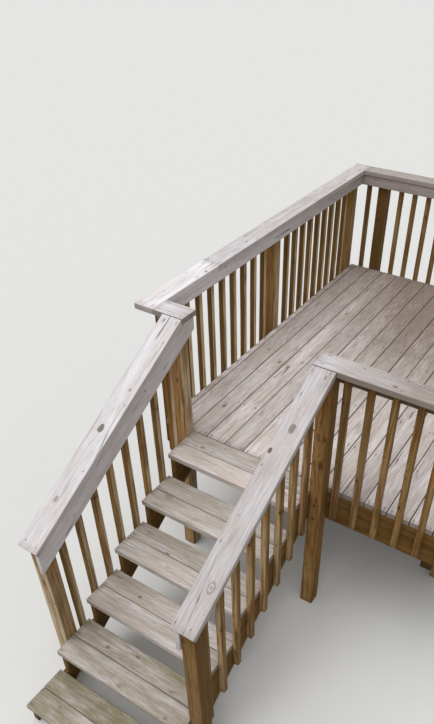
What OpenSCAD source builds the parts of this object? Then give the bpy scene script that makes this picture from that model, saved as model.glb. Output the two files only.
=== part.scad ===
// Wooden deck stairs: a straight flight of open plank treads between two sawtooth stringers,
// rising to a raised plank deck, with a capped baluster railing along the flight and the deck.
// Millimetres. X runs along the treads, Y up the flight, Z up.
// The origin is on the ground, below the middle of the whole structure.

/* [Flight] */
// Length of each tread, which is the distance between the inner faces of the stair posts
tread_len = 938; // [800:2:1100]
// Height of one step
riser_h = 180; // [165:1:190]
// Horizontal distance from one tread's front edge to the next
going = 295; // [290:1:310]
// Gap between the two boards of a tread
tread_gap = 3; // [2:1:6]
// How far a tread reaches in front of the stringer's riser cut
nosing_d = 20; // [10:1:30]
// Seam between the top tread and the ends of the deck boards
deck_seam = 3; // [2:1:6]

/* [Deck] */
// Depth of the deck frame, measured up the flight
deck_depth = 2925; // [2600:5:3300]
// Width of the deck, measured along the treads
deck_w = 2220; // [2000:5:2400]
// How far the deck reaches past the left ends of the treads
deck_side = 232; // [210:1:400]
// Gap between two deck boards
board_gap = 5; // [3:1:8]
// Spacing of the joists, centre to centre
joist_pitch = 415; // [380:5:610]
// Distance of the beams from the deck's long edges
beam_inset = 260; // [150:5:400]
// Distance of the first beam posts from the deck's front edge
beam_post_in = 604; // [500:4:700]

/* [Lumber] */
// Width of the flat boards: treads, decking and rail caps
board_w = 140; // [130:1:150]
// Thickness of the flat boards
board_t = 38; // [32:1:40]
// Side of the square posts
post = 89; // [80:1:100]
// Height of the deck's side rails
rail_h = 89; // [70:1:100]
// Height of the flight's side rails, square to their length
stair_rail_h = 140; // [120:1:150]
// Thickness of the flight's side rails
stair_rail_t = 26; // [19:1:38]
// Thickness of the side rails
rail_t = 38; // [32:1:40]
// Side of the square balusters
baluster = 38; // [30:1:40]
// Height of the deck frame's rims and joists
frame_h = 235; // [200:1:240]
// Thickness of the deck frame's rims and joists
frame_t = 38; // [32:1:45]
// Width of the board that a stringer is cut from
stringer_w = 286; // [260:1:300]
// Thickness of a stringer
stringer_t = 38; // [32:1:45]
// Height of a beam
beam_h = 184; // [140:1:200]
// Thickness of one ply of a beam
beam_ply = 38; // [32:1:45]
// Radius of the eased long edges of every piece
ease = 4; // [2:0.5:6]

/* [Railing] */
// Height of the rail cap above the deck
guard_h = 914; // [800:2:1000]
// Height of the stair caps at the lower posts, above the line through the treads' front edges
stair_guard_h = 855; // [780:1:900]
// How far a cap reaches past the inner face of its side rail
cap_in = 12; // [0:1:20]
// How far the level caps reach past the inner edges of the stair caps
cap_past = 2; // [0:1:20]
// Spacing of the balusters, centre to centre
baluster_pitch = 138; // [120:1:150]
// Clear gap between a post and the first baluster of the front railing
first_gap = 37; // [20:1:60]
// Clear gap between the lower posts and the first balusters of the flight
stair_first_gap = 48; // [20:1:90]
// How far the left stair cap runs past its lower post
cap_tail_left = 50; // [20:1:80]
// How far the right stair cap runs past its lower post
cap_tail_right = 26; // [20:1:80]
// How far the lower posts stand behind the second tread's front edge
lower_post_in = 85; // [40:1:180]
// Height of the baluster feet above the lower edge of the rim that they are fixed to
foot_up = 45; // [20:1:80]
// Distance of the left railing's middle post from the deck's front edge
left_post_at = 1424; // [1200:4:1600]
// Distance of the far railing's first post from the deck's left edge
far_post_at = 183; // [150:1:300]
// Distance of the left cap's butt joint from the deck's front edge
cap_joint_at = 620; // [300:5:900]

/* [Hidden] */
steps = 6;

// Heights
slope = riser_h / going;
lean = sqrt(1 + slope * slope);
deck_z = steps * riser_h;
frame_z = deck_z - board_t - frame_h;
beam_z = frame_z - beam_h;
cap_z = deck_z + guard_h;
rail_z = cap_z - board_t;

// Places up the flight
tread_d = 2 * board_w + tread_gap;
deck_y = tread_d + deck_seam;
deck_y1 = deck_y + deck_depth;
cross_y = deck_y + rail_t + cap_in - board_w;
flight_y = -(steps - 1) * going;
lower_post_y = flight_y + going + lower_post_in;

// Places along the treads
deck_x = -deck_side;
deck_x1 = deck_x + deck_w;
left_cap_x1 = deck_x + rail_t + cap_in;
left_cap_x = left_cap_x1 - board_w;
far_cap_y = deck_y1 - rail_t - cap_in;
end_post_x = deck_x1 - post;
mid_post_y = deck_y + left_post_at;
last_post_y = deck_y1 - post - rail_t;
first_far_x = deck_x + far_post_at;
second_far_x = (first_far_x + end_post_x) / 2;

// Rake of the stair railing, which is a little flatter than the flight
rake = (guard_h - stair_guard_h - slope * lower_post_y) / (cross_y - lower_post_y);
rake_lean = sqrt(1 + rake * rake);
stair_cap_x1 = stair_rail_t + cap_in;

// Deck boards, laid from the right edge, with the last one ripped to a strip
board_step = board_w + board_gap;
board_count = floor((deck_w - board_gap - 10) / board_step);
strip_w = deck_w - board_count * board_step;

// Colours of the weathered wood
cap_tint = [0.80, 0.75, 0.73];
board_tint = [0.70, 0.64, 0.58];
post_tint = [0.55, 0.37, 0.19];
baluster_tint = [0.58, 0.42, 0.26];
frame_tint = [0.42, 0.27, 0.13];

// Moves the model from the top tread's front left corner to the origin
module place() {
    middle_x = (min(left_cap_x, deck_x - post) + deck_x1) / 2;
    middle_y = (flight_y + max(far_cap_y + board_w, deck_y1 + post)) / 2;
    translate([-middle_x, -middle_y, 0]) children();
}

// Cross-section of a sawn board with eased corners
function arris(x, y, start) = [for (k = [0 : 2]) [x, y] + ease * [cos(start + k * 45), sin(start + k * 45)]];
function section(w, t) = concat(
    arris(w - ease, t - ease, 0), arris(ease, t - ease, 90),
    arris(ease, ease, 180), arris(w - ease, ease, 270)
);

// Straight lumber between two corners, with its long edges along X, Y or Z
module bar_x(low, high) {
    size = high - low;
    translate(low) rotate([90, 0, 90]) linear_extrude(size.x) polygon(section(size.y, size.z));
}
module bar_y(low, high) {
    size = high - low;
    translate([low.x, low.y, high.z]) rotate([-90, 0, 0]) linear_extrude(size.y)
        polygon(section(size.x, size.z));
}
module bar_z(low, high) {
    size = high - low;
    translate(low) linear_extrude(size.z) polygon(section(size.x, size.y));
}

// A slab with the outline given in the plane of Y and Z, from x to x + t
module profile(x, t, outline) {
    translate([x, 0, 0]) rotate([90, 0, 90]) linear_extrude(t) polygon(outline);
}

// Height of the line through the treads' front edges, and of the stair cap's two faces
function nosing_z(y) = deck_z + slope * y;
function cap_top_z(y) = cap_z + rake * (y - cross_y);
function cap_under_z(y) = cap_top_z(y) - board_t * rake_lean;

// Raked lumber under the stair cap's top face, cut plumb at y1 and level at z1.
// The lower end is cut square to the lumber when spare is 0, or else plumb at y0.
module raked(x, w, drop, t, y0, y1, z1, spare) {
    intersection() {
        translate([x, y0, cap_top_z(y0)]) rotate([atan(rake), 0, 0])
            bar_y([0, -spare, -drop - t], [w, (y1 - y0) * rake_lean + t, -drop]);
        translate([x, y0, 0]) cube([w, y1 - y0, z1]);
    }
}

// Square upright from the height z0 to the underside of the stair cap
module upright_under_cap(x, y, side, z0) {
    intersection() {
        bar_z([x, y, z0], [x + side, y + side, cap_z]);
        profile(x, side, [
            [y, z0], [y + side, z0], [y + side, cap_under_z(y + side)], [y, cap_under_z(y)]
        ]);
    }
}

// Centres of balusters that fill the opening from a to b evenly
function fill(a, b) = let(bays = max(2, ceil((b - a) / baluster_pitch)))
    [for (i = [1 : bays - 1]) a + (b - a) * i / bays];

// Stringers
module stringer(x) {
    seat = deck_z - board_t;
    under = seat - stringer_w * lean;
    back = deck_y;
    teeth = [for (i = [0 : steps - 1]) each [
        [i == 0 ? back : nosing_d - (i - 1) * going, seat - i * riser_h],
        [nosing_d - i * going, seat - i * riser_h]
    ]];
    foot_y = -under / slope;
    outline = concat(teeth, [
        [nosing_d - (steps - 1) * going, 0],
        [foot_y, 0],
        [back, under + slope * back]
    ]);
    color(frame_tint) profile(x, stringer_t, outline);
}
module stringer_left() { place() stringer(0); }
module stringer_right() { place() stringer(tread_len - stringer_t); }

// Treads, counted from the ground
module tread(n) {
    y = flight_y + (n - 1) * going;
    z = n * riser_h;
    place() color(board_tint) for (y0 = [y, y + board_w + tread_gap])
        bar_x([0, y0, z - board_t], [tread_len, y0 + board_w, z]);
}

// Stair posts: the lower ones are cut to the rake of the cap that they carry
module lower_post(x) {
    place() color(post_tint) upright_under_cap(x, lower_post_y, post, 0);
}
module upper_post(x) {
    place() color(post_tint) bar_z([x, deck_y - post, 0], [x + post, deck_y, rail_z]);
}

// Side rail of the flight, plumb at both ends and level where it runs under the cross cap
module stair_rail(x, tail) {
    y0 = lower_post_y - tail + board_t * rake / rake_lean;
    place() color(cap_tint)
        raked(x, stair_rail_t, board_t, stair_rail_h, y0, deck_y + rail_t, rail_z, 2 * stair_rail_h);
}

// Flat cap of the flight, square at its lower end and plumb at its upper end
module stair_cap(x, tail) {
    place() color(cap_tint) raked(x, board_w, 0, board_t, lower_post_y - tail, cross_y, cap_z, 0);
}

// Balusters of the flight, on the outer faces of the side rail and the stringer
module stair_balusters(x) {
    first = lower_post_y + post + stair_first_gap;
    last = deck_y - post - 2 * baluster;
    drop = stringer_w * lean + board_t - foot_up;
    place() color(baluster_tint) for (y = [first : going / 2 : last])
        upright_under_cap(x, y, baluster, max(nosing_z(y) - drop, foot_up));
}

module stair_post_lower_left() { lower_post(-post); }
module stair_post_lower_right() { lower_post(tread_len); }
module stair_post_upper_left() { upper_post(-post); }
module stair_post_upper_right() { upper_post(tread_len); }
module stair_rail_left() { stair_rail(0, cap_tail_left); }
module stair_rail_right() { stair_rail(tread_len - stair_rail_t, cap_tail_right); }
module stair_cap_left() { stair_cap(stair_cap_x1 - board_w, cap_tail_left); }
module stair_cap_right() { stair_cap(tread_len - stair_cap_x1, cap_tail_right); }
module stair_balusters_left() { stair_balusters(-baluster); }
module stair_balusters_right() { stair_balusters(tread_len); }

// Level railing along X: side rail, cap, balusters and posts
module rail_x(x0, x1, y) {
    place() color(cap_tint) bar_x([x0, y, rail_z - rail_h], [x1, y + rail_t, rail_z]);
}
module cap_x(x0, x1, y) {
    place() color(cap_tint) bar_x([x0, y, rail_z], [x1, y + board_w, cap_z]);
}
module balusters_x(centres, y) {
    place() color(baluster_tint) for (x = centres)
        bar_z([x - baluster / 2, y, frame_z + foot_up], [x + baluster / 2, y + baluster, rail_z]);
}
module posts_x(corners, y) {
    place() color(post_tint) for (x = corners) bar_z([x, y, frame_z], [x + post, y + post, rail_z]);
}

// Short return from the upper left stair post to the left railing
module return_rail() { rail_x(deck_x + rail_t, 0, deck_y); }
module return_cap() { cap_x(left_cap_x1, stair_cap_x1 + cap_past, cross_y); }
module return_baluster() { balusters_x(fill(deck_x, -post), deck_y - baluster); }

// Front railing, right of the flight
module front_rail() { rail_x(tread_len, deck_x1, deck_y); }
module front_cap() { cap_x(tread_len - stair_cap_x1 - cap_past, deck_x1, cross_y); }
module front_balusters() {
    first = tread_len + post + first_gap + baluster / 2;
    balusters_x([for (x = [first : baluster_pitch : end_post_x - baluster]) x], deck_y - baluster);
}
module front_end_post() { posts_x([end_post_x], deck_y - post); }

// Far railing
module far_rail() { rail_x(deck_x + rail_t, deck_x1, deck_y1 - rail_t); }
module far_cap() { cap_x(left_cap_x1, deck_x1, far_cap_y); }
module far_balusters() {
    balusters_x(concat(
        fill(deck_x, first_far_x),
        fill(first_far_x + post, second_far_x),
        fill(second_far_x + post, end_post_x)
    ), deck_y1);
}
module far_posts() { posts_x([first_far_x, second_far_x, end_post_x], deck_y1); }

// Left railing
module left_rail() {
    place() color(cap_tint)
        bar_y([deck_x, deck_y, rail_z - rail_h], [deck_x + rail_t, deck_y1, rail_z]);
}
module left_cap(y0, y1) {
    place() color(cap_tint) bar_y([left_cap_x, y0, rail_z], [left_cap_x1, y1, cap_z]);
}
module left_cap_near() { left_cap(cross_y, deck_y + cap_joint_at); }
module left_cap_far() { left_cap(deck_y + cap_joint_at, far_cap_y + board_w); }
module left_balusters() {
    near = floor((left_post_at - baluster) / baluster_pitch);
    centres = concat(
        [for (i = [1 : near]) mid_post_y - i * baluster_pitch],
        fill(mid_post_y + post, last_post_y)
    );
    place() color(baluster_tint) for (y = centres)
        bar_z([deck_x - baluster, y - baluster / 2, frame_z + foot_up],
            [deck_x, y + baluster / 2, rail_z]);
}
module left_posts() {
    place() color(post_tint) for (y = [mid_post_y, last_post_y])
        bar_z([deck_x - post, y, frame_z], [deck_x, y + post, rail_z]);
}

// Decking, laid along Y
module deck_boards() {
    place() color(board_tint) for (i = [1 : board_count]) {
        x = deck_x1 - i * board_step + board_gap;
        bar_y([x, deck_y, deck_z - board_t], [x + board_w, deck_y1, deck_z]);
    }
}
module deck_edge_strip() {
    place() color(board_tint)
        bar_y([deck_x, deck_y, deck_z - board_t], [deck_x + strip_w, deck_y1, deck_z]);
}

// Deck frame: two rims along Y, with the end rims and the joists between them
module rim_y(x) {
    place() color(frame_tint) bar_y([x, deck_y, frame_z], [x + frame_t, deck_y1, frame_z + frame_h]);
}
module rim_x(y) {
    place() color(frame_tint)
        bar_x([deck_x + frame_t, y, frame_z], [deck_x1 - frame_t, y + frame_t, frame_z + frame_h]);
}
module rim_front() { rim_x(deck_y); }
module rim_far() { rim_x(deck_y1 - frame_t); }
module rim_left() { rim_y(deck_x); }
module rim_right() { rim_y(deck_x1 - frame_t); }
module joists() {
    for (y = [joist_pitch : joist_pitch : deck_depth - 3 * frame_t]) rim_x(deck_y + y);
}

// Beams of two plies along Y, each on three posts
module beam(x) {
    place() color(frame_tint)
        bar_y([x, deck_y + 3 * frame_t, beam_z], [x + 2 * beam_ply, deck_y1 - frame_t, frame_z]);
}
module beam_posts(x) {
    first = deck_y + beam_post_in;
    last = deck_y1 - 3 * post;
    px = x + beam_ply - post / 2;
    place() color(post_tint) for (y = [first, (first + last) / 2, last])
        bar_z([px, y, 0], [px + post, y + post, beam_z]);
}
left_beam_x = deck_x + beam_inset;
right_beam_x = deck_x1 - beam_inset - 2 * beam_ply;
module beam_left() { beam(left_beam_x); }
module beam_right() { beam(right_beam_x); }
module beam_posts_left() { beam_posts(left_beam_x); }
module beam_posts_right() { beam_posts(right_beam_x); }

stringer_left();
stringer_right();
tread(1);  // tread_1
tread(2);  // tread_2
tread(3);  // tread_3
tread(4);  // tread_4
tread(5);  // tread_5
tread(6);  // tread_6
stair_post_lower_left();
stair_post_lower_right();
stair_post_upper_left();
stair_post_upper_right();
stair_rail_left();
stair_rail_right();
stair_cap_left();
stair_cap_right();
stair_balusters_left();
stair_balusters_right();
return_rail();
return_cap();
return_baluster();
front_rail();
front_cap();
front_balusters();
front_end_post();
left_rail();
left_cap_near();
left_cap_far();
left_balusters();
left_posts();
far_rail();
far_cap();
far_balusters();
far_posts();
deck_boards();
deck_edge_strip();
rim_front();
rim_far();
rim_left();
rim_right();
joists();
beam_left();
beam_right();
beam_posts_left();
beam_posts_right();
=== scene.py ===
"""Weathered wooden deck stairs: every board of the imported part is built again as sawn, worn lumber."""

import math
import random

import bmesh
import bpy
import numpy as np
from mathutils import Matrix, Vector


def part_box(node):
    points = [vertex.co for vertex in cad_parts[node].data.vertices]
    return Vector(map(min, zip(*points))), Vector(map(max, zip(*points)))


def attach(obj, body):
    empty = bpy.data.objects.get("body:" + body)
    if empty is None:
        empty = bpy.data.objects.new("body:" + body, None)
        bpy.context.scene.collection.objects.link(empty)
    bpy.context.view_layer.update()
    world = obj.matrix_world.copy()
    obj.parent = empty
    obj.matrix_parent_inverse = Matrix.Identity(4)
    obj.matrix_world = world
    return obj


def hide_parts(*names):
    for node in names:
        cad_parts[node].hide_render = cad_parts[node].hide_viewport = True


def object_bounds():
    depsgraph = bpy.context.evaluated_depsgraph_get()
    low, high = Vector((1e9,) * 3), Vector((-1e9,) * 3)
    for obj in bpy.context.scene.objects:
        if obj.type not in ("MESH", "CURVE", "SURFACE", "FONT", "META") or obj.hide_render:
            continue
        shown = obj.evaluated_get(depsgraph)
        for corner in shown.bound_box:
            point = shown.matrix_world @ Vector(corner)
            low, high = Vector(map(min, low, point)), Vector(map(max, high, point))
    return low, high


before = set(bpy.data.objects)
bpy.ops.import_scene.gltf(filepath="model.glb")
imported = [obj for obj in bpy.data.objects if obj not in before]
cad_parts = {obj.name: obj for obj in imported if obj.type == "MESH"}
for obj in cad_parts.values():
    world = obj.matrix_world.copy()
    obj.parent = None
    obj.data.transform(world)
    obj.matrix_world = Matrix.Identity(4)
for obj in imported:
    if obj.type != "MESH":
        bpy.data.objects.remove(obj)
CAD_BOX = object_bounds()

MM = 0.001
X, Y, Z = Vector((1, 0, 0)), Vector((0, 1, 0)), Vector((0, 0, 1))
AXES = {"X": X, "Y": Y, "Z": Z}


# Materials
class Tree:
    """Short calls for the nodes of a material or a world."""

    def __init__(self, owner):
        owner.use_nodes = True
        self.owner = owner
        self.nodes = owner.node_tree.nodes
        self.links = owner.node_tree.links
        self.shader = next(n for n in self.nodes if n.type in ("BSDF_PRINCIPLED", "BACKGROUND"))

    def put(self, socket, value):
        """Links another node's output to a socket, or sets the socket's own value."""
        if isinstance(value, bpy.types.NodeSocket):
            self.links.new(value, socket)
        elif value is not None:
            socket.default_value = value

    def add(self, kind, *values, out=0, **settings):
        """Adds a node with its first inputs and gives back one of its outputs."""
        node = self.nodes.new(kind)
        for key, value in settings.items():
            setattr(node, key, value)
        for socket, value in zip(node.inputs, values):
            self.put(socket, value)
        return node.outputs[out]

    def math(self, operation, *values):
        return self.add("ShaderNodeMath", *values, operation=operation)

    def plus(self, *values):
        result = values[0]
        for value in values[1:]:
            result = self.math("ADD", result, value)
        return result

    def minus(self, a, b):
        return self.math("SUBTRACT", a, b)

    def times(self, *values):
        result = values[0]
        for value in values[1:]:
            result = self.math("MULTIPLY", result, value)
        return result

    def over(self, a, b):
        return self.math("DIVIDE", a, b)

    def length(self, a, b):
        return self.math("SQRT", self.plus(self.times(a, a), self.times(b, b)))

    def vector(self, operation, a, b):
        return self.add("ShaderNodeVectorMath", a, b, operation=operation)

    def attribute(self, name):
        return self.add("ShaderNodeAttribute", attribute_name=name, out=1)

    def split(self, vector):
        node = self.nodes.new("ShaderNodeSeparateXYZ")
        self.put(node.inputs[0], vector)
        return node.outputs[:3]

    def step(self, low, high, value):
        """0 below low and 1 above high, or the other way round where low is the larger."""
        node = self.nodes.new("ShaderNodeMapRange")
        node.interpolation_type = "SMOOTHSTEP"
        self.put(node.inputs["Value"], value)
        a, b, c, d = (low, high, 0.0, 1.0) if low < high else (high, low, 1.0, 0.0)
        for key, x in zip(("From Min", "From Max", "To Min", "To Max"), (a, b, c, d)):
            node.inputs[key].default_value = x
        return node.outputs["Result"]

    def noise(self, place, size, detail=2.0, rough=0.5):
        """Noise at a place. size is how many features a metre holds along each axis."""
        node = self.nodes.new("ShaderNodeTexNoise")
        self.put(node.inputs["Vector"], self.vector("MULTIPLY", place, size))
        for key, x in (("Scale", 1.0), ("Detail", detail), ("Roughness", rough)):
            node.inputs[key].default_value = x
        return node.outputs["Fac"]

    def mix(self, factor, a, b, blend="MIX"):
        node = self.nodes.new("ShaderNodeMix")
        node.data_type, node.blend_type = "RGBA", blend
        self.put(node.inputs[0], factor)
        for socket, value in ((node.inputs[6], a), (node.inputs[7], b)):
            self.put(socket, (*value, 1.0) if isinstance(value, tuple) else value)
        return node.outputs[2]

    def grey(self, level):
        return self.add("ShaderNodeCombineXYZ", level, level, level)

    def seen(self):
        """1 for what the camera sees, straight or in a gloss or through glass, and 0 for light on its way."""
        rays = self.nodes.new("ShaderNodeLightPath").outputs
        mirrored = self.math("MAXIMUM", rays["Is Glossy Ray"], rays["Is Transmission Ray"])
        return self.math("MAXIMUM", rays["Is Camera Ray"], mirrored)


def srgb(*rgb):
    """A colour as it looks on screen, 0 to 255, as the linear one that a shader takes."""
    return tuple(((c / 255 + 0.055) / 1.055) ** 2.4 if c > 10 else c / 255 / 12.92 for c in rgb)


def shade(colour, level):
    """A colour at a share of its lightness."""
    return tuple(c * level for c in colour)


MOSS = srgb(128, 123, 80)
IRON_BLACK = srgb(62, 56, 52)
RUST = srgb(92, 58, 38)
RING_WIDTH = 4.6 * MM

# Noises of the wood: how many features a metre holds along, across and through it, then detail and roughness.
# The first group bends round the knots with the fibres.
FIBRE_NOISES = {
    "fibre": ((9.0, 420.0, 420.0), 2.0, 0.6),
    "fine": ((3.0, 150.0, 150.0), 2.0, 0.6),
    "medium": ((1.6, 50.0, 50.0), 2.5, 0.6),
    "mottle": ((9.0, 140.0, 140.0), 3.5, 0.7),
    "strip": ((2.4, 54.0, 54.0), 2.0),
    "crack": ((0.9, 30.0, 30.0), 1.0),
    "hair": ((0.7, 44.0, 44.0), 1.0),
}
PLACE_NOISES = {
    "broad": ((1.0, 15.0, 15.0), 2.0),
    "patch": ((4.5, 11.0, 11.0), 3.0, 0.6),
    "cloud": ((3.0, 10.0, 10.0), 2.0),
    "cracked": ((2.4, 14.0, 14.0), 1.0),
    "crazed": ((1.7, 12.0, 12.0), 1.0),
    "wander": ((1.1, 5.0, 5.0), 1.0),
    "ripple": ((2.5, 22.0, 22.0),),
    "knot_bend": ((34.0, 60.0, 60.0),),
    "knot_edge": ((150.0, 150.0, 150.0),),
    "knot_tone": ((90.0, 90.0, 90.0),),
}


def knot_marks(t, u, v, noises):
    """A knot's solid part, its dark lines, and how strongly the fibres swirl and how far they are pushed.
    A face knows its nearest knot, as the place along and across the board, and the radius, which is below 0
    if the knot is ringed: then it shows as a dark ring with a dark heart."""
    ku, kv, kr = t.split(t.attribute("knot"))
    radius = t.math("MAXIMUM", t.math("ABSOLUTE", kr), 0.0004)
    ringed = t.math("LESS_THAN", kr, 0.0)
    du = t.minus(u, ku)
    dv = t.plus(t.minus(v, kv), t.times(t.minus(noises["knot_bend"], 0.5), radius, 0.9))
    far = t.over(t.length(t.times(du, 0.6), dv), radius)
    far = t.plus(far, t.times(t.minus(noises["knot_edge"], 0.5), 0.3))
    solid = t.times(t.step(1.15, 0.8, far), t.minus(1.0, ringed))
    outline = t.times(t.step(0.6, 0.9, far), t.step(1.25, 1.0, far))
    heart = t.step(0.4, 0.2, far)
    lines = t.times(t.plus(outline, t.times(heart, ringed)), t.plus(0.25, t.times(ringed, 0.3)))
    swirl = t.math("EXPONENT", t.times(t.length(t.over(du, 3.4), dv), t.over(-1.0, radius), 0.8))
    return solid, lines, swirl, t.times(swirl, radius)


def late_wood(t, u, v, w, s1, s2, push, noises):
    """The dark part of the growth rings, round a pith that lies below the board and wanders along it."""
    wander = t.minus(noises["wander"], 0.5)
    across = t.plus(v, t.times(t.minus(s1, 0.5), -0.11), t.times(wander, 0.03))
    depth = t.plus(w, 0.025, t.times(s2, 0.09), t.times(t.minus(u, 0.8), 0.012))
    radius = t.plus(t.length(across, depth), t.times(push, 2.6))
    radius = t.plus(radius, t.times(t.minus(noises["ripple"], 0.5), 0.007))
    phase = t.math("FRACT", t.over(radius, RING_WIDTH))
    return t.times(t.step(0.3, 0.85, phase), t.step(1.0, 0.92, phase))


def drying_cracks(t, end, checks, along, noises):
    """Cracks along the fibres, with more of them near the ends, and hair-thin ones elsewhere."""
    line = t.math("ABSOLUTE", t.minus(along["crack"], 0.5))
    where = t.plus(noises["cracked"], t.times(t.step(0.12, 0.0, end), 0.05))
    cracks = t.times(t.step(0.014, 0.004, line), t.step(checks, checks + 0.05, where))
    line = t.math("ABSOLUTE", t.minus(along["hair"], 0.47))
    hair = t.times(t.step(0.03, 0.005, line), t.step(checks - 0.2, checks - 0.05, noises["crazed"]))
    return cracks, hair


def nail_iron(t, u, v, fine):
    """Where the iron of a nail blackens the wood, round its head and along the fibres."""
    nu, nv, force = t.split(t.attribute("nail"))
    far = t.length(t.times(t.minus(u, nu), 0.3), t.minus(v, nv))
    far = t.plus(far, t.times(t.minus(fine, 0.5), 0.008))
    return t.times(t.step(0.010, 0.002, far), force)


def wood(name, pale, mid, dark, warm, stain_and_shade, faded, knot, grain, streak, blotch, mottling,
         checks=0.66, strips=0.0, grime_and_shade_colour=None):
    """Bare weathered softwood. pale, mid and dark are its early wood, streaks and late wood, warm its patches
    of another hue, stain its grime and painted shade on top, the side colour, or stain where none is given,
    its grime and painted shade on the faces that look sideways, faded what sun and rain leave of it.
    grain, streak, blotch, mottling and strips are strengths, and lower checks give more cracks."""
    t = Tree(bpy.data.materials.new(name))
    grain_at, seed = t.attribute("grain"), t.attribute("seed")
    u, v, w = t.split(grain_at)
    s1, s2, tone = t.split(seed)
    end, rim, _ = t.split(t.attribute("edge"))
    grey, green, dirt_and_shade = t.split(t.attribute("weather"))
    bared, ink, side_grime_and_shade = t.split(t.attribute("side"))
    place = t.vector("ADD", grain_at, t.vector("MULTIPLY", seed, (37.0, 11.0, 5.0)))
    noises = {key: t.noise(place, *values) for key, values in PLACE_NOISES.items()}
    broad, patch, cloud = (noises[key] for key in ("broad", "patch", "cloud"))
    solid, lines, swirl, push = knot_marks(t, u, v, noises)
    late = late_wood(t, u, v, w, s1, s2, push, noises)

    # Streaks along the fibres, which give way to a knot
    bent = t.vector("ADD", place, t.add("ShaderNodeCombineXYZ", 0.0, t.times(push, 1.6), 0.0))
    along = {key: t.noise(bent, *values) for key, values in FIBRE_NOISES.items()}
    fibre, fine, medium, mottle = (along[key] for key in ("fibre", "fine", "medium", "mottle"))
    cracks, hair = drying_cracks(t, end, checks, along, noises)

    # The wood's own colours
    colour = t.mix(t.step(0.34, 0.68, medium), pale, mid)
    colour = t.mix(t.times(t.step(0.44, 0.58, cloud), 0.7), colour, warm)
    colour = t.mix(t.times(late, grain), colour, dark)
    colour = t.mix(t.times(t.step(0.42, 0.72, fine), streak), colour, mid)
    colour = t.mix(t.times(t.step(0.5, 0.74, broad), streak, 0.8), colour, dark)
    colour = t.mix(t.times(t.step(0.52, 0.78, patch), blotch), colour, stain_and_shade)
    colour = t.mix(t.times(t.step(0.48, 0.7, mottle), mottling), colour, dark)
    colour = t.mix(t.times(t.step(0.48, 0.3, mottle), mottling), colour, pale)

    # Sun and rain fade it, in strips where it still has its brown
    worn = t.times(grey, bared, t.plus(0.7, t.times(t.step(0.3, 0.6, fine), 0.5)))
    if strips:
        colour = t.mix(t.times(t.step(0.5, 0.6, along["strip"]), strips), colour, dark)
        worn = t.times(worn, t.plus(0.3, t.times(t.step(0.6, 0.46, along["strip"]), 0.8)))
    colour = t.mix(worn, colour, faded)
    # Lighter or darker by fibre and by the board's tone, which on some caps is painted light and shade
    level = t.plus(0.92, t.times(t.step(0.32, 0.62, fibre), 0.14), t.times(tone, 0.09))
    colour = t.mix(1.0, colour, t.grey(level), "MULTIPLY")

    # Moss and grime, most of all at the ends and arrises, and painted shade on faces that look sideways and
    # on pieces that lie in shade
    moss = t.plus(t.times(patch, 0.35), t.times(mottle, 0.35), t.times(broad, 0.3))
    moss = t.times(green, t.plus(0.15, t.times(t.step(0.3, 0.7, moss), 0.75)))
    colour = t.mix(moss, colour, MOSS)
    # Grime and painted shade on the faces that look sideways, in the darker side colour
    colour = t.mix(t.times(side_grime_and_shade, t.plus(0.6, t.times(fine, 0.6))), colour, grime_and_shade_colour or stain_and_shade)
    colour = t.mix(t.times(t.step(0.003, 0.001, end), 0.55), colour, shade(stain_and_shade, 0.8))
    spread = t.step(0.3, 0.7, t.plus(t.times(patch, 0.3), t.times(mottle, 0.7)))
    # Dirt and painted shade, mottled: the painted shade darkens what lies in the shade of the trees, the
    # house wall and the caps
    colour = t.mix(t.times(dirt_and_shade, t.plus(0.62, t.times(spread, 0.5))), colour, stain_and_shade)
    colour = t.mix(t.times(t.step(0.05, 0.0, end), t.plus(0.2, patch), 0.4), colour, stain_and_shade)
    colour = t.mix(t.times(t.step(0.007, 0.0, rim), t.plus(0.1, patch), 0.5), colour, stain_and_shade)

    # Knots, nail stains and cracks
    colour = t.mix(t.times(swirl, 0.35), colour, dark)
    uneven = t.step(0.3, 0.75, noises["knot_tone"])
    knot_shade = t.mix(t.times(uneven, 0.35), knot, shade(knot, 0.5))
    colour = t.mix(t.times(solid, ink), colour, knot_shade)
    colour = t.mix(t.times(lines, ink), colour, shade(knot, 0.5))
    colour = t.mix(t.times(nail_iron(t, u, v, fine), 0.3), colour, IRON_BLACK)
    colour = t.mix(t.times(hair, 0.45), colour, shade(dark, 0.55))
    colour = t.mix(t.times(cracks, 0.8), colour, shade(dark, 0.25))

    height = t.plus(t.times(fibre, 0.35), t.times(fine, 0.5), t.times(late, 0.6 * grain), t.times(solid, 0.5))
    bump = t.nodes.new("ShaderNodeBump")
    bump.inputs["Strength"].default_value = 0.55
    bump.inputs["Distance"].default_value = 0.6 * MM
    t.put(bump.inputs["Height"], t.minus(height, t.times(cracks, 3.0)))
    s = t.shader.inputs
    t.put(s["Base Color"], colour)
    t.put(s["Normal"], bump.outputs[0])
    t.put(s["Roughness"], t.plus(0.77, t.times(fine, 0.14)))
    s["Specular IOR Level"].default_value = 0.25
    return t.owner


def steel(name, tint, rust_from):
    """Galvanised steel that has dulled, with rust in its pits. A lower rust_from gives more rust."""
    t = Tree(bpy.data.materials.new(name))
    place = t.add("ShaderNodeTexCoord", out=3)
    spots = t.noise(place, (260.0, 260.0, 260.0), 3.0, 0.65)
    grain = t.noise(place, (900.0, 900.0, 900.0))
    rusty = t.step(rust_from, rust_from + 0.2, spots)
    colour = t.mix(t.step(0.35, 0.65, grain), tint, shade(tint, 0.7))
    t.put(t.shader.inputs["Base Color"], t.mix(rusty, colour, RUST))
    t.put(t.shader.inputs["Metallic"], t.minus(0.4, t.times(rusty, 0.35)))
    t.put(t.shader.inputs["Roughness"], t.plus(0.55, t.times(rusty, 0.3)))
    return t.owner


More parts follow.
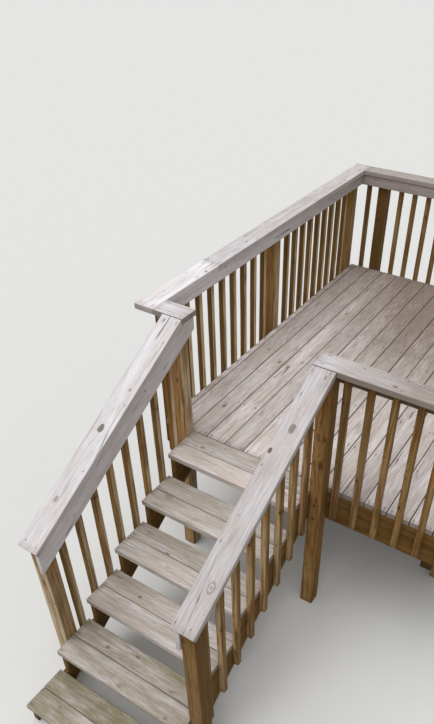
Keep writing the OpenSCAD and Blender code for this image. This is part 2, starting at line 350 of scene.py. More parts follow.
WOODS = {
    "cap_wood": wood(
        "weathered_caps",
        pale=srgb(244, 243, 248), mid=srgb(230, 225, 228), dark=srgb(198, 188, 186), warm=srgb(222, 214, 211),
        # The caps' darker side colour is their grime and painted shade
        stain_and_shade=srgb(158, 145, 136), grime_and_shade_colour=srgb(116, 99, 84), faded=srgb(214, 208, 206), knot=srgb(122, 110, 94),
        grain=0.3, streak=0.4, blotch=0.28, mottling=0.4, checks=0.6),
    "deck_wood": wood(
        "weathered_decking",
        pale=srgb(244, 238, 238), mid=srgb(222, 212, 210), dark=srgb(176, 162, 156), warm=srgb(212, 199, 188),
        stain_and_shade=srgb(140, 126, 115), faded=srgb(204, 194, 186), knot=srgb(124, 108, 92),
        grain=0.35, streak=0.5, blotch=0.35, mottling=0.55, checks=0.64),
    "post_wood": wood(
        "weathered_posts",
        pale=srgb(214, 170, 104), mid=srgb(184, 138, 74), dark=srgb(106, 66, 24), warm=srgb(200, 140, 70),
        stain_and_shade=srgb(92, 66, 28), faded=srgb(226, 208, 174), knot=srgb(62, 38, 12),
        grain=0.5, streak=0.6, blotch=0.45, mottling=0.5, strips=0.45),
    "baluster_wood": wood(
        "weathered_balusters",
        pale=srgb(214, 172, 106), mid=srgb(184, 136, 72), dark=srgb(102, 62, 20), warm=srgb(198, 138, 66),
        stain_and_shade=srgb(90, 64, 26), faded=srgb(243, 222, 184), knot=srgb(62, 40, 14),
        grain=0.5, streak=0.6, blotch=0.45, mottling=0.4, strips=0.6),
    "frame_wood": wood(
        "weathered_frame",
        pale=srgb(148, 114, 62), mid=srgb(122, 90, 42), dark=srgb(78, 52, 18), warm=srgb(126, 88, 38),
        stain_and_shade=srgb(72, 58, 28), faded=srgb(138, 120, 90), knot=srgb(52, 34, 14),
        grain=0.5, streak=0.6, blotch=0.5, mottling=0.4, strips=0.4),
}
NAIL_STEEL = steel("dull_nails", srgb(118, 112, 106), 0.42)
BOLT_STEEL = steel("rusty_bolts", srgb(84, 70, 54), 0.36)


# Lumber
rng = random.Random(71)
SHRINK = 0.5 * MM
ARRIS = (2.6 * MM, 4.6 * MM)
END_LENGTH = 1.3 * MM
END_INSET = 1.1 * MM
POINTS_ALONG = 0.075
POINTS_ACROSS = 0.028
KNOT_SIZES = (3, 4, 5, 6, 8, 10, 13)
SHARP_ANGLE = 42
HEADS = {"nail": [], "screw": [], "bolt": []}


def solids(node):
    """The boxes of a CAD node's separate solids, as (lowest corner, highest corner), in a fixed order."""
    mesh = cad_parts[node].data
    spots = np.array([v.co for v in mesh.vertices]).round(6)
    keys, place = np.unique(spots, axis=0, return_inverse=True)
    group = np.arange(len(keys))
    place = place.ravel()
    edges = place[np.array([e.vertices[:] for e in mesh.edges])]
    while True:
        low = np.minimum(group[edges[:, 0]], group[edges[:, 1]])
        new = group.copy()
        np.minimum.at(new, edges[:, 0], low)
        np.minimum.at(new, edges[:, 1], low)
        new = new[new]
        if (new == group).all():
            break
        group = new
    boxes = [(keys[group == g].min(0), keys[group == g].max(0)) for g in np.unique(group)]
    return [(Vector(a), Vector(b)) for a, b in sorted(boxes, key=lambda ab: tuple(ab[0].round(4)))]


class Board:
    """One length of sawn lumber. It runs from start along u, is wide along v and thick along w, which looks
    up where it can. It is a hair smaller than its solid, and drying has bent it a little."""

    def __init__(self, start, u, v, length, width, thick, cuts=()):
        self.start, self.u, self.v = Vector(start), u.normalized(), v.normalized()
        self.w = self.u.cross(self.v)
        if self.w.dot(X + Y + Z) < 0:
            self.v, self.w = -self.v, -self.w
        self.length = length
        self.width = width - SHRINK
        self.thick = thick - 2 * SHRINK
        self.cuts = cuts
        self.seed = (rng.random(), rng.random())
        self.tone = rng.uniform(-1, 1)
        self.knots, self.nails = [], []
        self.weather = (0.0, 0.0, 0.0)
        self.faces = None
        self.bow = rng.uniform(-1, 1) * min(1.2 * MM, length * 0.0006)
        self.crook = rng.uniform(-1, 1) * min(1.0 * MM, length * 0.0005)
        self.cup = rng.uniform(-0.6, 0.6) * MM if width > 2 * thick else 0.0

    def local(self, point):
        d = Vector(point) - self.start
        return d.dot(self.u), d.dot(self.v), d.dot(self.w)

    def bend(self, u, v):
        """How far drying has moved the wood at a place of the board."""
        s = math.sin(math.pi * min(max(u / self.length, 0), 1))
        arch = 1 - (2 * v / self.width) ** 2
        return self.w * (self.bow * s + self.cup * arch) + self.v * self.crook * s

    def middle(self, along, off=0.0, axis=X):
        """The point that lies so far along the board, and off its middle along an axis."""
        return self.start + self.u * along + axis * off

    def knot(self, along, off, radius, axis=X, ink=0.8):
        """A knot at a place of the board. ink is how dark it is, and a radius below 0 gives a ringed one."""
        u, v, _ = self.local(self.middle(along, off, axis))
        self.knots.append((u, v, radius, ink))

    def scatter_knots(self, every):
        """Knots at random places, about one for each stretch of that length, clear of those listed."""
        at = rng.uniform(0.1, every)
        while at < self.length - 0.06:
            size = rng.choice(KNOT_SIZES) * MM
            side = rng.uniform(-0.4, 0.4) * self.width
            kind = -1 if rng.random() < 0.3 else 1
            gap = rng.uniform(0.5, 1.6) * every
            ink = rng.uniform(0.15, 0.75)
            if all(abs(at - k[0]) > 0.16 for k in self.knots):
                self.knots.append((at, side, kind * min(size, self.width * 0.22), ink))
            at += max(gap, 0.18)

    def drive(self, kind, point, normal):
        """Drives a fastener into the face that looks along normal, at the place nearest to point."""
        u, v, w = self.local(point)
        facing = normal.dot(self.w)
        if abs(facing) > 0.5:
            w = math.copysign(self.thick / 2, facing)
            self.nails.append((u, v, rng.uniform(0.3, 1.0)))
        else:
            v = math.copysign(self.width / 2, normal.dot(self.v))
        place = self.start + self.u * u + self.v * v + self.w * w + self.bend(u, v)
        HEADS[kind].append((place, normal))


def rings(board):
    """The board's skin as rings of points along it, with rounded arrises that are worn unevenly."""
    length, b, t = board.length, board.width / 2, board.thick / 2
    count = max(4, round(length / POINTS_ALONG))
    between = [length * i / count for i in range(1, count)]
    stops = [0.0, END_LENGTH] + between + [length - END_LENGTH, length]
    phases = [rng.uniform(0, 6.28) for _ in range(8)]
    sizes = [rng.uniform(*ARRIS) for _ in range(4)]
    side_points = [max(1, round(2 * half / POINTS_ACROSS)) for half in (b, t)]
    for i, at in enumerate(stops):
        inset = END_INSET if i in (0, len(stops) - 1) else 0.0
        points = []
        radii = [s * (1 + 0.28 * math.sin(at * 9.7 + phases[k]) + 0.2 * math.sin(at * 31 + phases[k + 4]))
                 for k, s in enumerate(sizes)]
        corners = []
        for k, (sv, sw) in enumerate(((1, 1), (-1, 1), (-1, -1), (1, -1))):
            r = min(radii[k], 0.45 * t)
            cv, cw = sv * (b - r), sw * (t - r)
            turns = [math.radians(90 * k + a) for a in (0, 30, 60, 90)]
            corners.append([(cv + (r - inset) * math.cos(a), cw + (r - inset) * math.sin(a)) for a in turns])
        for k in range(4):
            points += corners[k]
            a, c = corners[k][-1], corners[(k + 1) % 4][0]
            n = side_points[k % 2]
            points += [(a[0] + (c[0] - a[0]) * j / (n + 1), a[1] + (c[1] - a[1]) * j / (n + 1))
                       for j in range(1, n + 1)]
        yield at, points


def band(bm, last, ring):
    """Faces between two rings of points, the second of which may be a single point."""
    n = len(last)
    for j in range(n):
        k = (j + 1) % n
        bm.faces.new((last[j], last[k], *((ring[k], ring[j]) if len(ring) > 1 else ring)))


def once(items):
    """The items without repeats, in a fixed order, which a set wouldn't keep from run to run."""
    return list(dict.fromkeys(items))


def lumber(bm, board, layers):
    """Adds one board to the mesh, cuts it with its planes and gives its points their places in the wood."""
    made, last = [], None
    for at, points in rings(board):
        ring = [bm.verts.new(board.start + board.u * at + board.v * v + board.w * w) for v, w in points]
        made += ring
        if last:
            band(bm, last, ring)
        else:
            first = ring
        last = ring
    bm.faces.new(first[::-1])
    bm.faces.new(last)
    faces = once(f for v in made for f in v.link_faces)
    for point, normal in board.cuts:
        edges = once(e for f in faces for e in f.edges)
        verts = once(v for f in faces for v in f.verts)
        got = bmesh.ops.bisect_plane(bm, geom=faces + edges + verts, dist=1e-6,
                                     plane_co=point, plane_no=normal, clear_outer=True)
        cut = [e for e in got["geom_cut"] if isinstance(e, bmesh.types.BMEdge)]
        kept = [f for f in got["geom"] if isinstance(f, bmesh.types.BMFace) and f.is_valid]
        filled = bmesh.ops.contextual_create(bm, geom=cut)["faces"] if cut else []
        faces = once([*kept, *filled])
    for f in faces:
        f.normal_update()
    finish_board(board, faces, layers)


def nearest(spots, u, v, reach):
    """The spot nearest to a place on the board, or one of no size."""
    best = min(spots, key=lambda s: (s[0] - u) ** 2 + (s[1] - v) ** 2, default=None)
    if best is None or abs(best[0] - u) > reach:
        return (0.0, 0.0, 0.0, 0.0)
    return best


def layers_of(bm):
    """The layers that carry the wood's own coordinates, its fading, moss, dirt and painted shade, and the
    nearest knot and nail.
    """
    points = {key: bm.verts.layers.float_vector.new(key) for key in ("grain", "seed", "edge", "weather")}
    return points | {key: bm.faces.layers.float_vector.new(key) for key in ("knot", "nail", "side")}


def finish_board(board, faces, layers):
    """Writes the wood's own coordinates on a board's points and faces, then bends it inside the CAD box."""
    for f in faces:
        u, v, _ = board.local(f.calc_center_median())
        knot = nearest(board.knots, u, v, 0.3)
        f[layers["knot"]] = knot[:3]
        f[layers["nail"]] = nearest(board.nails, u, v, 0.2)[:3]
        # How bare a face is, and how much grime and painted shade it gets
        bared, side_grime_and_shade = board.faces(f.normal) if board.faces else (1.0, 0.0)
        f[layers["side"]] = (bared, knot[3], side_grime_and_shade)
        f.smooth = True
    for vert in once(v for f in faces for v in f.verts):
        u, v, w = board.local(vert.co)
        vert[layers["grain"]] = (u, v, w)
        vert[layers["seed"]] = (*board.seed, board.tone)
        to_end = min(u, board.length - u)
        to_arris = min(board.width / 2 - abs(v), board.thick / 2 - abs(w) + 0.02)
        vert[layers["edge"]] = (to_end, to_arris, 0.0)
        vert[layers["weather"]] = board.weather(vert.co) if callable(board.weather) else board.weather
        bent = vert.co + board.bend(u, v)
        vert.co = [min(max(c, a), b) for c, a, b in zip(bent, *CAD_BOX)]


def piece(name, nodes, boards, slot):
    """One mesh object of all the boards, which stands for the CAD nodes."""
    bm = bmesh.new()
    layers = layers_of(bm)
    for board in boards:
        lumber(bm, board, layers)
    place_mesh(name, bm, nodes, slot, WOODS[slot])


def place_mesh(name, bm, nodes, slot, material):
    """Makes the visible object, which rides on the one body and stands for its CAD nodes, if it has any."""
    mesh = bpy.data.meshes.new(name)
    bm.to_mesh(mesh)
    bm.free()
    mesh.materials.append(material)
    mesh.set_sharp_from_angle(angle=math.radians(SHARP_ANGLE))
    ob = bpy.data.objects.new(name, mesh)
    bpy.context.scene.collection.objects.link(ob)
    even = ob.modifiers.new("even_normals", "WEIGHTED_NORMAL")
    even.keep_sharp = True
    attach(ob, "root")
    if nodes:
        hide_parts(*nodes)


def straight(node, run):
    """Boards for a node's straight solids, which run along one axis."""
    boards = []
    for low, high in solids(node):
        size = high - low
        others = [a for a in "XYZ" if a != run]
        across = max(others, key=lambda a: round(size["XYZ".index(a)], 4))
        thick = next(a for a in others if a != across)
        i, j, k = ("XYZ".index(a) for a in (run, across, thick))
        start = (low + high) / 2
        start[i] = low[i]
        boards.append(Board(start, AXES[run], AXES[across], size[i], size[j], size[k]))
    return boards


def share(value, low, high):
    """How far value is on its way from low to high, from 0 to 1."""
    return min(max((value - low) / (high - low), 0.0), 1.0)


def nail_down(board, along, off, axis, slack):
    """Drives a nail from above, as far off its place as a hand sets it, in mm along and across."""
    along += rng.uniform(-slack[0], slack[0]) * MM
    off += rng.uniform(-slack[1], slack[1]) * MM
    board.drive("nail", board.middle(along, off, axis), Z)


# The raked pieces run up the line of the stair cap's top face
cap_low, cap_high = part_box("stair_cap_left")
front_top = max(v.co.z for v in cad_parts["stair_cap_left"].data.vertices if v.co.y < cap_low.y + 1e-4)
RAKE = (cap_high.z - front_top) / (cap_high.y - cap_low.y)
UP_RAKE = Vector((0, 1, RAKE)).normalized()
RAKE_UP = Vector((0, -RAKE, 1)).normalized()
CAP_LINE = Vector((0, cap_low.y, front_top))
cross_low, cross_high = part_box("front_cap")
CAP_T = cross_high.z - cross_low.z
CAP_JOINT = 6.0 * MM
DECK_LOW, DECK_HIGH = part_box("deck_boards")
TREADS = ["tread_%d" % n for n in range(1, 7)]
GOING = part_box("tread_2")[0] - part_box("tread_1")[0]


def on_rake(x, y):
    """The point of the rake's line over a place on the ground."""
    return CAP_LINE + Vector((x, y - CAP_LINE.y, RAKE * (y - CAP_LINE.y)))


def stair_cap(side):
    """The flat cap of the flight, square at its lower end and plumb at its upper end."""
    low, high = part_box("stair_cap_" + side)
    start = on_rake((low.x + high.x) / 2, low.y) - RAKE_UP * CAP_T / 2
    length = (high.y - low.y) / UP_RAKE.y + CAP_T
    cuts = [(high - Y * CAP_JOINT, Y)]
    return Board(start, UP_RAKE, X, length, high.x - low.x, CAP_T, cuts)


def stair_rail(side):
    """The upright side board of the flight, plumb at both ends and level under the cross cap."""
    low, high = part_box("stair_rail_" + side)
    ends = [v.co.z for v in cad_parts["stair_rail_" + side].data.vertices if v.co.y < low.y + 1e-4]
    deep = (max(ends) - min(ends)) * UP_RAKE.y
    start = on_rake((low.x + high.x) / 2, low.y) - RAKE_UP * (CAP_T + deep / 2) - UP_RAKE * deep
    length = (high.y - low.y) / UP_RAKE.y + 2 * deep
    cuts = [(low, -Y), (high, Y), (high, Z)]
    return Board(start, UP_RAKE, RAKE_UP, length, deep, high.x - low.x, cuts)


# The flight's caps: knots and nails as metres up the board and off its middle, with a knot's radius and ink.
# A radius below 0 gives a ringed knot.
CAP_KNOTS = {
    "left": ((0.304, -0.011, 0.012, 0.5), (0.759, -0.007, 0.0165, 0.9), (1.025, 0.024, 0.006, 0.8),
             (1.497, -0.034, 0.009, 0.6)),
    "right": ((0.251, 0.022, -0.018, 0.8), (0.62, -0.03, 0.004, 0.5), (0.985, -0.05, 0.010, 1.0),
              (1.135, 0.001, 0.0165, 0.7), (1.458, 0.032, 0.008, 0.5)),
}
CAP_NAILS = {
    "left": ((0.035, 0.045), (0.045, -0.04), (0.5, 0.045), (0.93, 0.047), (1.36, 0.044), (1.505, 0.05)),
    "right": ((0.035, -0.057), (0.04, 0.03), (0.47, -0.05), (0.9, -0.052), (1.33, -0.048), (1.474, -0.056),
              (1.49, 0.044)),
}
# Each stair cap's tone and dirt, as painted light and shade: the left cap lighter, the right cap, by the
# house wall, darker
CAP_TONE_AND_LIGHT = {"left": 0.5, "right": -0.7}
CAP_DIRT_AND_SHADE = {"left": 0.02, "right": 0.28}


def stair_cap_dirt_and_shade(side):
    """Darker towards the bottom of the flight, over each cap's dirt and painted shade, which for the right
    cap is painted shade of the house wall.
    """
    return lambda point: (0.0, 0.0, CAP_DIRT_AND_SHADE[side] + 0.2 * (1 - share(point.z, front_top, cap_high.z - 0.2)))


for side in ("left", "right"):
    cap = stair_cap(side)
    cap.bow = cap.crook = 0.0
    cap.tone = CAP_TONE_AND_LIGHT[side]
    cap.weather = stair_cap_dirt_and_shade(side)
    for along, off, radius, ink in CAP_KNOTS[side]:
        cap.knot(along, off, radius, ink=ink)
    for along, off in CAP_NAILS[side]:
        cap.drive("nail", cap.middle(along, off), RAKE_UP)
    piece("stair_cap_%s_board" % side, ["stair_cap_" + side], [cap], "cap_wood")
    rail = stair_rail(side)
    rail.bow = rail.crook = 0.0
    rail.scatter_knots(0.5)
    rail.weather = lambda point: (0.0, 0.0, 0.3 * share(point.z, front_top, cap_high.z))
    piece("stair_rail_%s_board" % side, ["stair_rail_" + side], [rail], "cap_wood")

# Treads: the lowest are the greenest and dirtiest, and the back boards more than the front ones.
# A knot is the board's number, its place along and across, and its radius.
NAIL_OFF = 0.049
MOSSY = {"tread_1": 1.1, "tread_2": 0.75, "tread_3": 0.3, "tread_4": 0.3, "tread_5": 0.45, "tread_6": 0.1}
TREAD_KNOTS = {
    "tread_2": ((1, 0.242, -0.024, 0.009), (1, 0.44, 0.022, 0.008)),
    "tread_3": ((1, 0.27, -0.021, 0.008),),
    "tread_5": ((0, 0.133, 0.05, -0.014),),
}
stringer_x = [(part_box(n)[0].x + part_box(n)[1].x) / 2 for n in ("stringer_left", "stringer_right")]
for n, node in enumerate(TREADS):
    boards = straight(node, "X")
    for k, board in enumerate(boards):
        low_down = 1 - n / (len(TREADS) - 1)
        board.weather = (0.0, MOSSY[node] + 0.2 * k, max(0.3 * low_down ** 2 + 0.1 * k - 0.08, 0))
        for row, along, off, radius in TREAD_KNOTS.get(node, ()):
            if row == k:
                board.knot(along, off, radius, Y)
        board.scatter_knots(0.5)
        for x in stringer_x:
            for off in (-NAIL_OFF, NAIL_OFF):
                nail_down(board, x - board.start.x, off, Y, (5, 4))
    piece(node + "_boards", [node], boards, "deck_wood")

# Decking, darker towards the far end, with two nails at every joist
DECK_KNOTS = ((0, 1.368, 0.051, 0.006), (1, 1.042, 0.027, 0.010), (2, 0.442, 0.039, 0.006))
joist_y = []
for node in ("rim_front", "joists", "rim_far"):
    joist_y += [(low.y + high.y) / 2 for low, high in solids(node)]


def deck_dirt_and_shade(point):
    """Darker further up the flight, painted shade of the trees with some real algae and grime, and away from
    the left railing, painted shade of the house wall.
    """
    far = share(point.y, DECK_LOW.y + 0.9, DECK_HIGH.y)
    house_shade = share(point.x, -0.65, -0.2) * share(point.y, DECK_LOW.y + 0.3, 1.1)
    return (0.0, 0.03, min(far ** 1.3 + 0.6 * house_shade, 1.2))


for node in ("deck_boards", "deck_edge_strip"):
    boards = straight(node, "Y")
    for k, board in enumerate(boards):
        board.weather = deck_dirt_and_shade
        for row, along, off, radius in DECK_KNOTS:
            if row == k and node == "deck_boards":
                board.knot(along, off, radius)
        board.scatter_knots(0.6)
        offs = (-NAIL_OFF, NAIL_OFF) if board.width > 0.1 else (0.0,)
        for y in joist_y:
            for off in offs:
                nail_down(board, y - board.start.y, off, X, (5, 4))
    piece(node + "_lumber", [node], boards, "deck_wood")


def edges_of(grime_and_shade):
    """Grime and painted shade on the faces of a flat cap or a rail that look sideways."""
    return lambda normal: (1.0, 0.0 if abs(normal.z) > 0.5 else grime_and_shade)


def cap_dirt_and_shade(left, right):
    """Dirt and painted shade that change along a level cap, from its left end to its right end."""
    return lambda point: (0.0, 0.0, left + (right - left) * share(point.x, 0.1, 0.75))


# Level caps, nailed over the side rails and over the posts' middles. Each row gives the run, the axis
# across, the spacing of knots, the listed knots, the dirt and painted shade at the left and the right, the
# tone, which also paints light and shade, and the edges' grime and painted shade.
NEAR_KNOT = ((0.58, 0.05, 0.008),)
FRONT_KNOT = ((0.45, -0.03, 0.008),)
LEVEL_CAPS = (
    # Painted light and shade in these rows: front_cap darkens to the right by the house wall, far_cap and
    # left_cap_far by the trees, left_cap_near's tone of 2.4 is painted light, and the edges' grime is partly
    # painted shade
    ("return_cap", "X", Y, 0.4, (), (0.0, 0.0), 0.0, 0.8),
    ("front_cap", "X", Y, 0.6, FRONT_KNOT, (0.294, 1.092), 0.0, 1.05),
    ("far_cap", "X", Y, 0.5, (), (0.85, 0.85), -0.2, 0.0),
    ("left_cap_near", "Y", X, 0.5, NEAR_KNOT, (0.0, 0.0), 2.4, 0.0),
    ("left_cap_far", "Y", X, 0.5, (), (0.25, 0.25), 0.0, 0.1),
)
CAP_NAIL_PITCH = 0.45
CAP_NAIL_END = 0.035
CAP_NAIL_OFFS = (-0.045, 0.048)
for node, run, side_axis, every, knots, dirt_and_shade, tone, edge_grime_and_shade in LEVEL_CAPS:
    boards = straight(node, run)
    board = boards[0]
    for along, off, radius in knots:
        board.knot(along, off, radius, side_axis)
    board.scatter_knots(every)
    board.tone = tone
    board.weather = cap_dirt_and_shade(*dirt_and_shade)
    board.faces = edges_of(edge_grime_and_shade)
    at = CAP_NAIL_END
    while at < board.length - 0.03:
        for off in CAP_NAIL_OFFS:
            nail_down(board, at, off, side_axis, (8, 6))
        at += min(CAP_NAIL_PITCH, max(board.length - CAP_NAIL_END - at, 0.03))
    piece(node + "_board", [node], boards, "cap_wood")

# The level side rails are darker towards the far end, painted shade of the trees with some real grime. Each
# row ends with the painted shade, partly grime, on their sides under the caps' overhang.
LEVEL_RAILS = (
    ("return_rail", "X", 0.4),
    # The front rail lies deepest in the painted shade of the front cap's overhang
    ("front_rail", "X", 1.2),
    ("far_rail", "X", 0.4),
    ("left_rail", "Y", 0.0),
)
for node, run, grime_and_shade in LEVEL_RAILS:
    boards = straight(node, run)
    for board in boards:
        board.weather = lambda point: (0.0, 0.0, 0.75 * share(point.y, 0.0, DECK_HIGH.y))
        board.faces = edges_of(grime_and_shade)
        board.scatter_knots(0.5)
    piece(node + "_board", [node], boards, "cap_wood")


def faces_of(front, right, other):
    """How far a face is bared to sun and rain and how much painted shade darkens it, by where it looks."""
    return lambda normal: front if normal.y < -0.7 else right if normal.x > 0.7 else other


def upright_wear_and_shade(board, sheltered, grime_and_shade):
    """Brown under the cap, and greyer from there on, where the rain reaches, with painted shade darkening the
    top just under the cap. No two are alike.
    """
    top = board.start.z + board.length
    grey = rng.uniform(0.5, 1.1)
    soil_and_shade = max(grime_and_shade + rng.uniform(-0.15, 0.15), 0.0)
    green = rng.uniform(-0.3, 0.25)
    # The last value is grime and painted shade, with painted shade in the top 0.25 m under the cap
    return lambda point: (grey * share(top - point.z, 0.0, sheltered), max(green, 0.0),
                          soil_and_shade + 0.3 * (1 - share(top - point.z, 0.0, 0.25)))


# Uprights: how far down the cap shelters them, their grime and painted shade, and then for the front face and
# for the right face how far it is bared to sun and rain and how much painted shade darkens it
UPRIGHT_LOOKS = {
    "stair_post_lower_left": (0.4, 0.0, (1.5, 0.0), (0.75, 0.0)),
    "stair_post_lower_right": (0.9, 0.2, (0.4, 0.45), (0.0, 0.7)),
    "stair_post_upper_left": (0.3, 0.0, (0.15, 0.0), (1.0, 0.0)),
    "stair_post_upper_right": (0.8, 0.05, (0.1, 0.1), (0.0, 0.4)),
    "stair_balusters_left": (0.7, 0.0, (0.0, 0.55), (1.0, 0.0)),
    "stair_balusters_right": (0.5, 0.0, (0.45, 0.1), (0.2, 0.3)),
    "left_balusters": (0.35, 0.0, (0.0, 0.85), (1.4, 0.0)),
    "left_posts": (0.3, 0.0, (0.0, 0.6), (0.9, 0.0)),
    "far_posts": (0.6, 0.5, (0.0, 0.8), (0.2, 0.5)),
    "far_balusters": (0.5, 0.4, (0.2, 0.4), (0.6, 0.1)),
    "front_balusters": (0.6, 0.05, (0.2, 0.4), (0.4, 0.3)),
    "return_baluster": (0.3, 0.0, (0.1, 0.4), (0.9, 0.0)),
}
PLAIN_LOOK = (0.5, 0.1, (0.4, 0.0), (0.4, 0.0))
OTHER_FACES = (0.5, 0.0)
# Knots of two posts, as height, place across, radius and ink
POST_KNOTS = {
    "stair_post_upper_right": (
        (1.515, -0.012, 0.017, 0.35), (1.52, 0.026, 0.014, 0.45), (1.31, 0.016, 0.017, 0.5),
        (1.315, -0.02, 0.014, 0.35), (1.02, 0.005, 0.006, 0.8)),
    "stair_post_lower_left": ((0.9, 0.0, 0.012, 0.5),),
}
# Each upright's wood, the side that its fasteners are driven from, and their kind
UPRIGHTS = (
    ("stair_post_upper_left", "post_wood", -Y, "bolt"),
    ("stair_post_upper_right", "post_wood", -Y, "bolt"),
    ("stair_post_lower_left", "post_wood", -X, "bolt"),
    ("stair_post_lower_right", "post_wood", X, "bolt"),
    ("front_end_post", "post_wood", -Y, "bolt"),
    ("left_posts", "post_wood", -X, "bolt"),
    ("far_posts", "post_wood", Y, "bolt"),
    ("stair_balusters_left", "baluster_wood", -X, "screw"),
    ("stair_balusters_right", "baluster_wood", X, "screw"),
    ("return_baluster", "baluster_wood", -Y, "screw"),
    ("front_balusters", "baluster_wood", -Y, "screw"),
    ("left_balusters", "baluster_wood", -X, "screw"),
    ("far_balusters", "baluster_wood", Y, "screw"),
    ("beam_posts_left", "post_wood", -X, None),
    ("beam_posts_right", "post_wood", X, None),
)
UNDER = CAP_LINE - RAKE_UP * CAP_T
FRAME_LOW, FRAME_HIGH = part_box("rim_front")
RAKE_SPARE = 0.02
STRINGER_BOLTS = (0.13, 0.25)
FRAME_BOLTS = (FRAME_LOW.z + 0.05, FRAME_HIGH.z - 0.07)
SCREWS_FROM_FOOT = (0.03, 0.105)
SCREWS_FROM_TOP = (0.065, 0.03)
for node, slot, outward, kind in UPRIGHTS:
    boards = straight(node, "Z")
    raked = node.startswith(("stair_post_lower", "stair_balusters"))
    for board in boards:
        top = board.length
        if raked:
            board.cuts = [(UNDER, RAKE_UP)]
            board.length += RAKE_SPARE
        sheltered, grime_and_shade, front, right = UPRIGHT_LOOKS.get(node, PLAIN_LOOK)
        board.weather = upright_wear_and_shade(board, sheltered, grime_and_shade)
        board.faces = faces_of(front, right, OTHER_FACES)
        for height, off, radius, ink in POST_KNOTS.get(node, ()):
            board.knot(height - board.start.z, off, radius, X, ink)
        board.scatter_knots(0.45)
        if kind == "bolt":
            for z in STRINGER_BOLTS if raked else FRAME_BOLTS:
                board.drive("bolt", board.middle(z - board.start.z), outward)
        elif kind == "screw":
            for along in (*SCREWS_FROM_FOOT, *(top - down for down in SCREWS_FROM_TOP)):
                board.drive("screw", board.middle(along), outward)
    piece(node + "_lumber", [node], boards, slot)

# Deck frame, with the side rims nailed to the joists' ends
DECK_FRAME = (("rim_front", "X"), ("rim_far", "X"), ("rim_left", "Y"), ("rim_right", "Y"), ("joists", "X"))
RIM_NAIL_OFFS = (-0.075, 0.0, 0.075)
for node, run in DECK_FRAME:
    boards = straight(node, run)
    for board in boards:
        board.scatter_knots(0.5)
        if run == "Y":
            outward = -X if node == "rim_left" else X
            for y in joist_y:
                for off in RIM_NAIL_OFFS:
                    board.drive("nail", board.middle(y - board.start.y, off, Z), outward)
    piece(node + "_lumber", [node], boards, "frame_wood")

# Beams of two plies, nailed together from both sides
BEAM_NAILS = 7
BEAM_NAIL_OFF = 0.05
for side in ("left", "right"):
    low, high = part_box("beam_" + side)
    ply = (high.x - low.x) / 2
    boards = []
    for i in (0, 1):
        start = Vector((low.x + (i + 0.5) * ply, low.y, (low.z + high.z) / 2))
        board = Board(start, Y, Z, high.y - low.y, high.z - low.z, ply)
        board.scatter_knots(0.5)
        for k in range(BEAM_NAILS):
            place = board.middle((k + 0.5) * board.length / BEAM_NAILS, BEAM_NAIL_OFF * (-1) ** k, Z)
            board.drive("nail", place, X if i else -X)
        boards.append(board)
    piece("beam_%s_plies" % side, ["beam_" + side], boards, "frame_wood")


STRINGER_LENGTH = 2.3
STRINGER_WIDTH = 0.286
STRINGER_ARRIS = 2.2 * MM


def stringer(node):
    """The sawtooth board, from the CAD outline, with worn edges and the fibres along its length."""
    bm = bmesh.new()
    bm.from_mesh(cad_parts[node].data)
    bmesh.ops.remove_doubles(bm, verts=bm.verts, dist=1e-5)
    bmesh.ops.dissolve_limit(bm, angle_limit=math.radians(2), verts=bm.verts, edges=bm.edges)
    bmesh.ops.bevel(bm, geom=list(bm.edges), offset=STRINGER_ARRIS, segments=2, profile=0.5, affect="EDGES")
    layers = layers_of(bm)
    low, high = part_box(node)
    slope = Vector((0, GOING.y, GOING.z)).normalized()
    start = Vector(((low.x + high.x) / 2, low.y, 0.05))
    board = Board(start, slope, slope.cross(X), STRINGER_LENGTH, STRINGER_WIDTH, high.x - low.x)
    board.bow = board.crook = board.cup = 0.0
    board.scatter_knots(0.4)
    finish_board(board, list(bm.faces), layers)
    place_mesh(node + "_lumber", bm, [node], "frame_wood", WOODS["frame_wood"])


stringer("stringer_left")
stringer("stringer_right")


# Fasteners: radius, rise and profile, which is the share of the radius and of the rise from rim to middle
NAIL = (3.6 * MM, 0.6 * MM, ((1.0, -1.0), (1.0, 0.3), (0.88, 0.85), (0.45, 1.0), (0.0, 1.0)))
SCREW = (4.2 * MM, 0.7 * MM, ((1.0, -1.0), (1.0, 0.2), (0.8, 1.0), (0.42, 1.0), (0.3, -0.6), (0.0, -0.8)))
BOLT = (8.5 * MM, 4.0 * MM, ((1.0, -0.2), (1.0, 0.12), (0.9, 0.5), (0.65, 0.82), (0.34, 0.97), (0.0, 1.0)))


def heads(name, spots, shape, sides, material):
    """The round heads of one kind of fastener, as one piece."""
    radius, rise, profile = shape
    bm = bmesh.new()
    for place, normal in spots:
        tilt = Vector((rng.uniform(-1, 1), rng.uniform(-1, 1), rng.uniform(-1, 1))) * 0.03
        turn = (normal + tilt).to_track_quat("Z", "Y").to_matrix()
        spin = rng.uniform(0, 6.28)
        last = None
        for r, h in profile:
            wide = r * radius
            angles = [spin + math.tau * k / sides for k in range(sides)] if r else [0.0]
            points = [Vector((wide * math.cos(a), wide * math.sin(a), h * rise)) for a in angles]
            ring = [bm.verts.new(place + turn @ point) for point in points]
            if last:
                band(bm, last, ring)
            else:
                bm.faces.new(ring[::-1])
            last = ring
    for f in bm.faces:
        f.smooth = True
    for vert in bm.verts:
        vert.co = [min(max(c, a), b) for c, a, b in zip(vert.co, *CAD_BOX)]
    place_mesh(name, bm, [], None, material)


heads("nail_heads", HEADS["nail"], NAIL, 10, NAIL_STEEL)
heads("screw_heads", HEADS["screw"], SCREW, 10, NAIL_STEEL)
heads("bolt_heads", HEADS["bolt"], BOLT, 20, BOLT_STEEL)


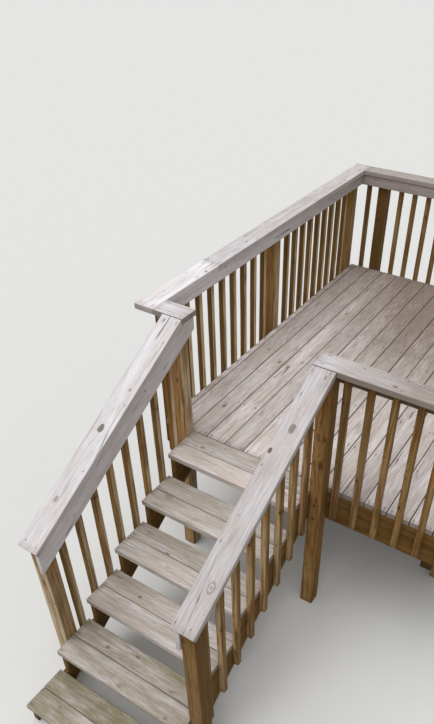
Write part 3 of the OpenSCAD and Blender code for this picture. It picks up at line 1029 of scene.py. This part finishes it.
# Floor and light: the floor's colour to the eye and to the light that it throws back, the sky's strength to
# the eye and on the object, and the soft lamp's strength, width in degrees and side
FLOOR_PALE = srgb(235, 235, 233)
FLOOR_BOUNCE = (0.40, 0.40, 0.38)
FLOOR_HALF = 60
SKY_COLOUR = (0.975, 0.98, 0.985, 1.0)
BACKDROP = 0.80
SKY_LIGHT = 0.40
SUN_LIGHT = 1.9
SUN_WIDTH = 60
SUN_FROM = Vector((-0.15, -0.33, 0.93))

ground = Tree(bpy.data.materials.new("studio_floor"))
cloudy = ground.noise(ground.add("ShaderNodeTexCoord", out=3), (6.0, 6.0, 6.0), 3.0)
pale_floor = ground.mix(cloudy, FLOOR_PALE, shade(FLOOR_PALE, 0.97))
ground.put(ground.shader.inputs["Base Color"], ground.mix(ground.seen(), FLOOR_BOUNCE, pale_floor))
ground.shader.inputs["Roughness"].default_value = 0.9
ground.shader.inputs["Specular IOR Level"].default_value = 0.1
floor_mesh = bpy.data.meshes.new("floor")
corners = [(FLOOR_HALF * x, FLOOR_HALF * y, 0) for x, y in ((-1, -1), (1, -1), (1, 1), (-1, 1))]
floor_mesh.from_pydata(corners, [], [(0, 1, 2, 3)])
floor_mesh.materials.append(ground.owner)
floor = bpy.data.objects.new("floor", floor_mesh)
bpy.context.scene.collection.objects.link(floor)

world = bpy.data.worlds.new("studio")
bpy.context.scene.world = world
sky = Tree(world)
sky.shader.inputs["Color"].default_value = SKY_COLOUR
sky.put(sky.shader.inputs["Strength"], sky.plus(SKY_LIGHT, sky.times(sky.seen(), BACKDROP - SKY_LIGHT)))

sun = bpy.data.lights.new("soft_key", "SUN")
sun.energy = SUN_LIGHT
sun.angle = math.radians(SUN_WIDTH)
key = bpy.data.objects.new("soft_key", sun)
key.rotation_euler = SUN_FROM.to_track_quat("Z", "Y").to_euler()
bpy.context.scene.collection.objects.link(key)

# The camera, solved from the photo: where it stands and looks, and its focal length and optical middle
# in pixels
EYE = (1.34824, -3.34842, 3.91997)
YAW, PITCH, ROLL = (math.radians(a) for a in (32.6, -39.89, 0.06))
FOCAL_PX, MIDDLE_PX = 658.8, (248.44, 437.18)
WIDE_PX, HIGH_PX = 434, 724
SENSOR = 36.0
ahead = Vector((-math.sin(YAW) * math.cos(PITCH), math.cos(YAW) * math.cos(PITCH), math.sin(PITCH)))
right = Vector((math.cos(YAW), math.sin(YAW), 0))
up = right.cross(ahead)
right, up = right * math.cos(ROLL) + up * math.sin(ROLL), up * math.cos(ROLL) - right * math.sin(ROLL)
lens = bpy.data.cameras.new("photo_view")
lens.sensor_width, lens.sensor_fit = SENSOR, "AUTO"
lens.lens = FOCAL_PX / HIGH_PX * SENSOR
lens.shift_x = (WIDE_PX / 2 - MIDDLE_PX[0]) / HIGH_PX
lens.shift_y = (MIDDLE_PX[1] - HIGH_PX / 2) / HIGH_PX
lens.clip_start, lens.clip_end = 0.05, 200
camera = bpy.data.objects.new("photo_view", lens)
camera.matrix_world = Matrix.Translation(EYE) @ Matrix((right, up, -ahead)).transposed().to_4x4()
bpy.context.scene.collection.objects.link(camera)
bpy.context.scene.camera = camera
bpy.context.scene.view_settings.view_transform = "Standard"

bpy.context.view_layer.update()
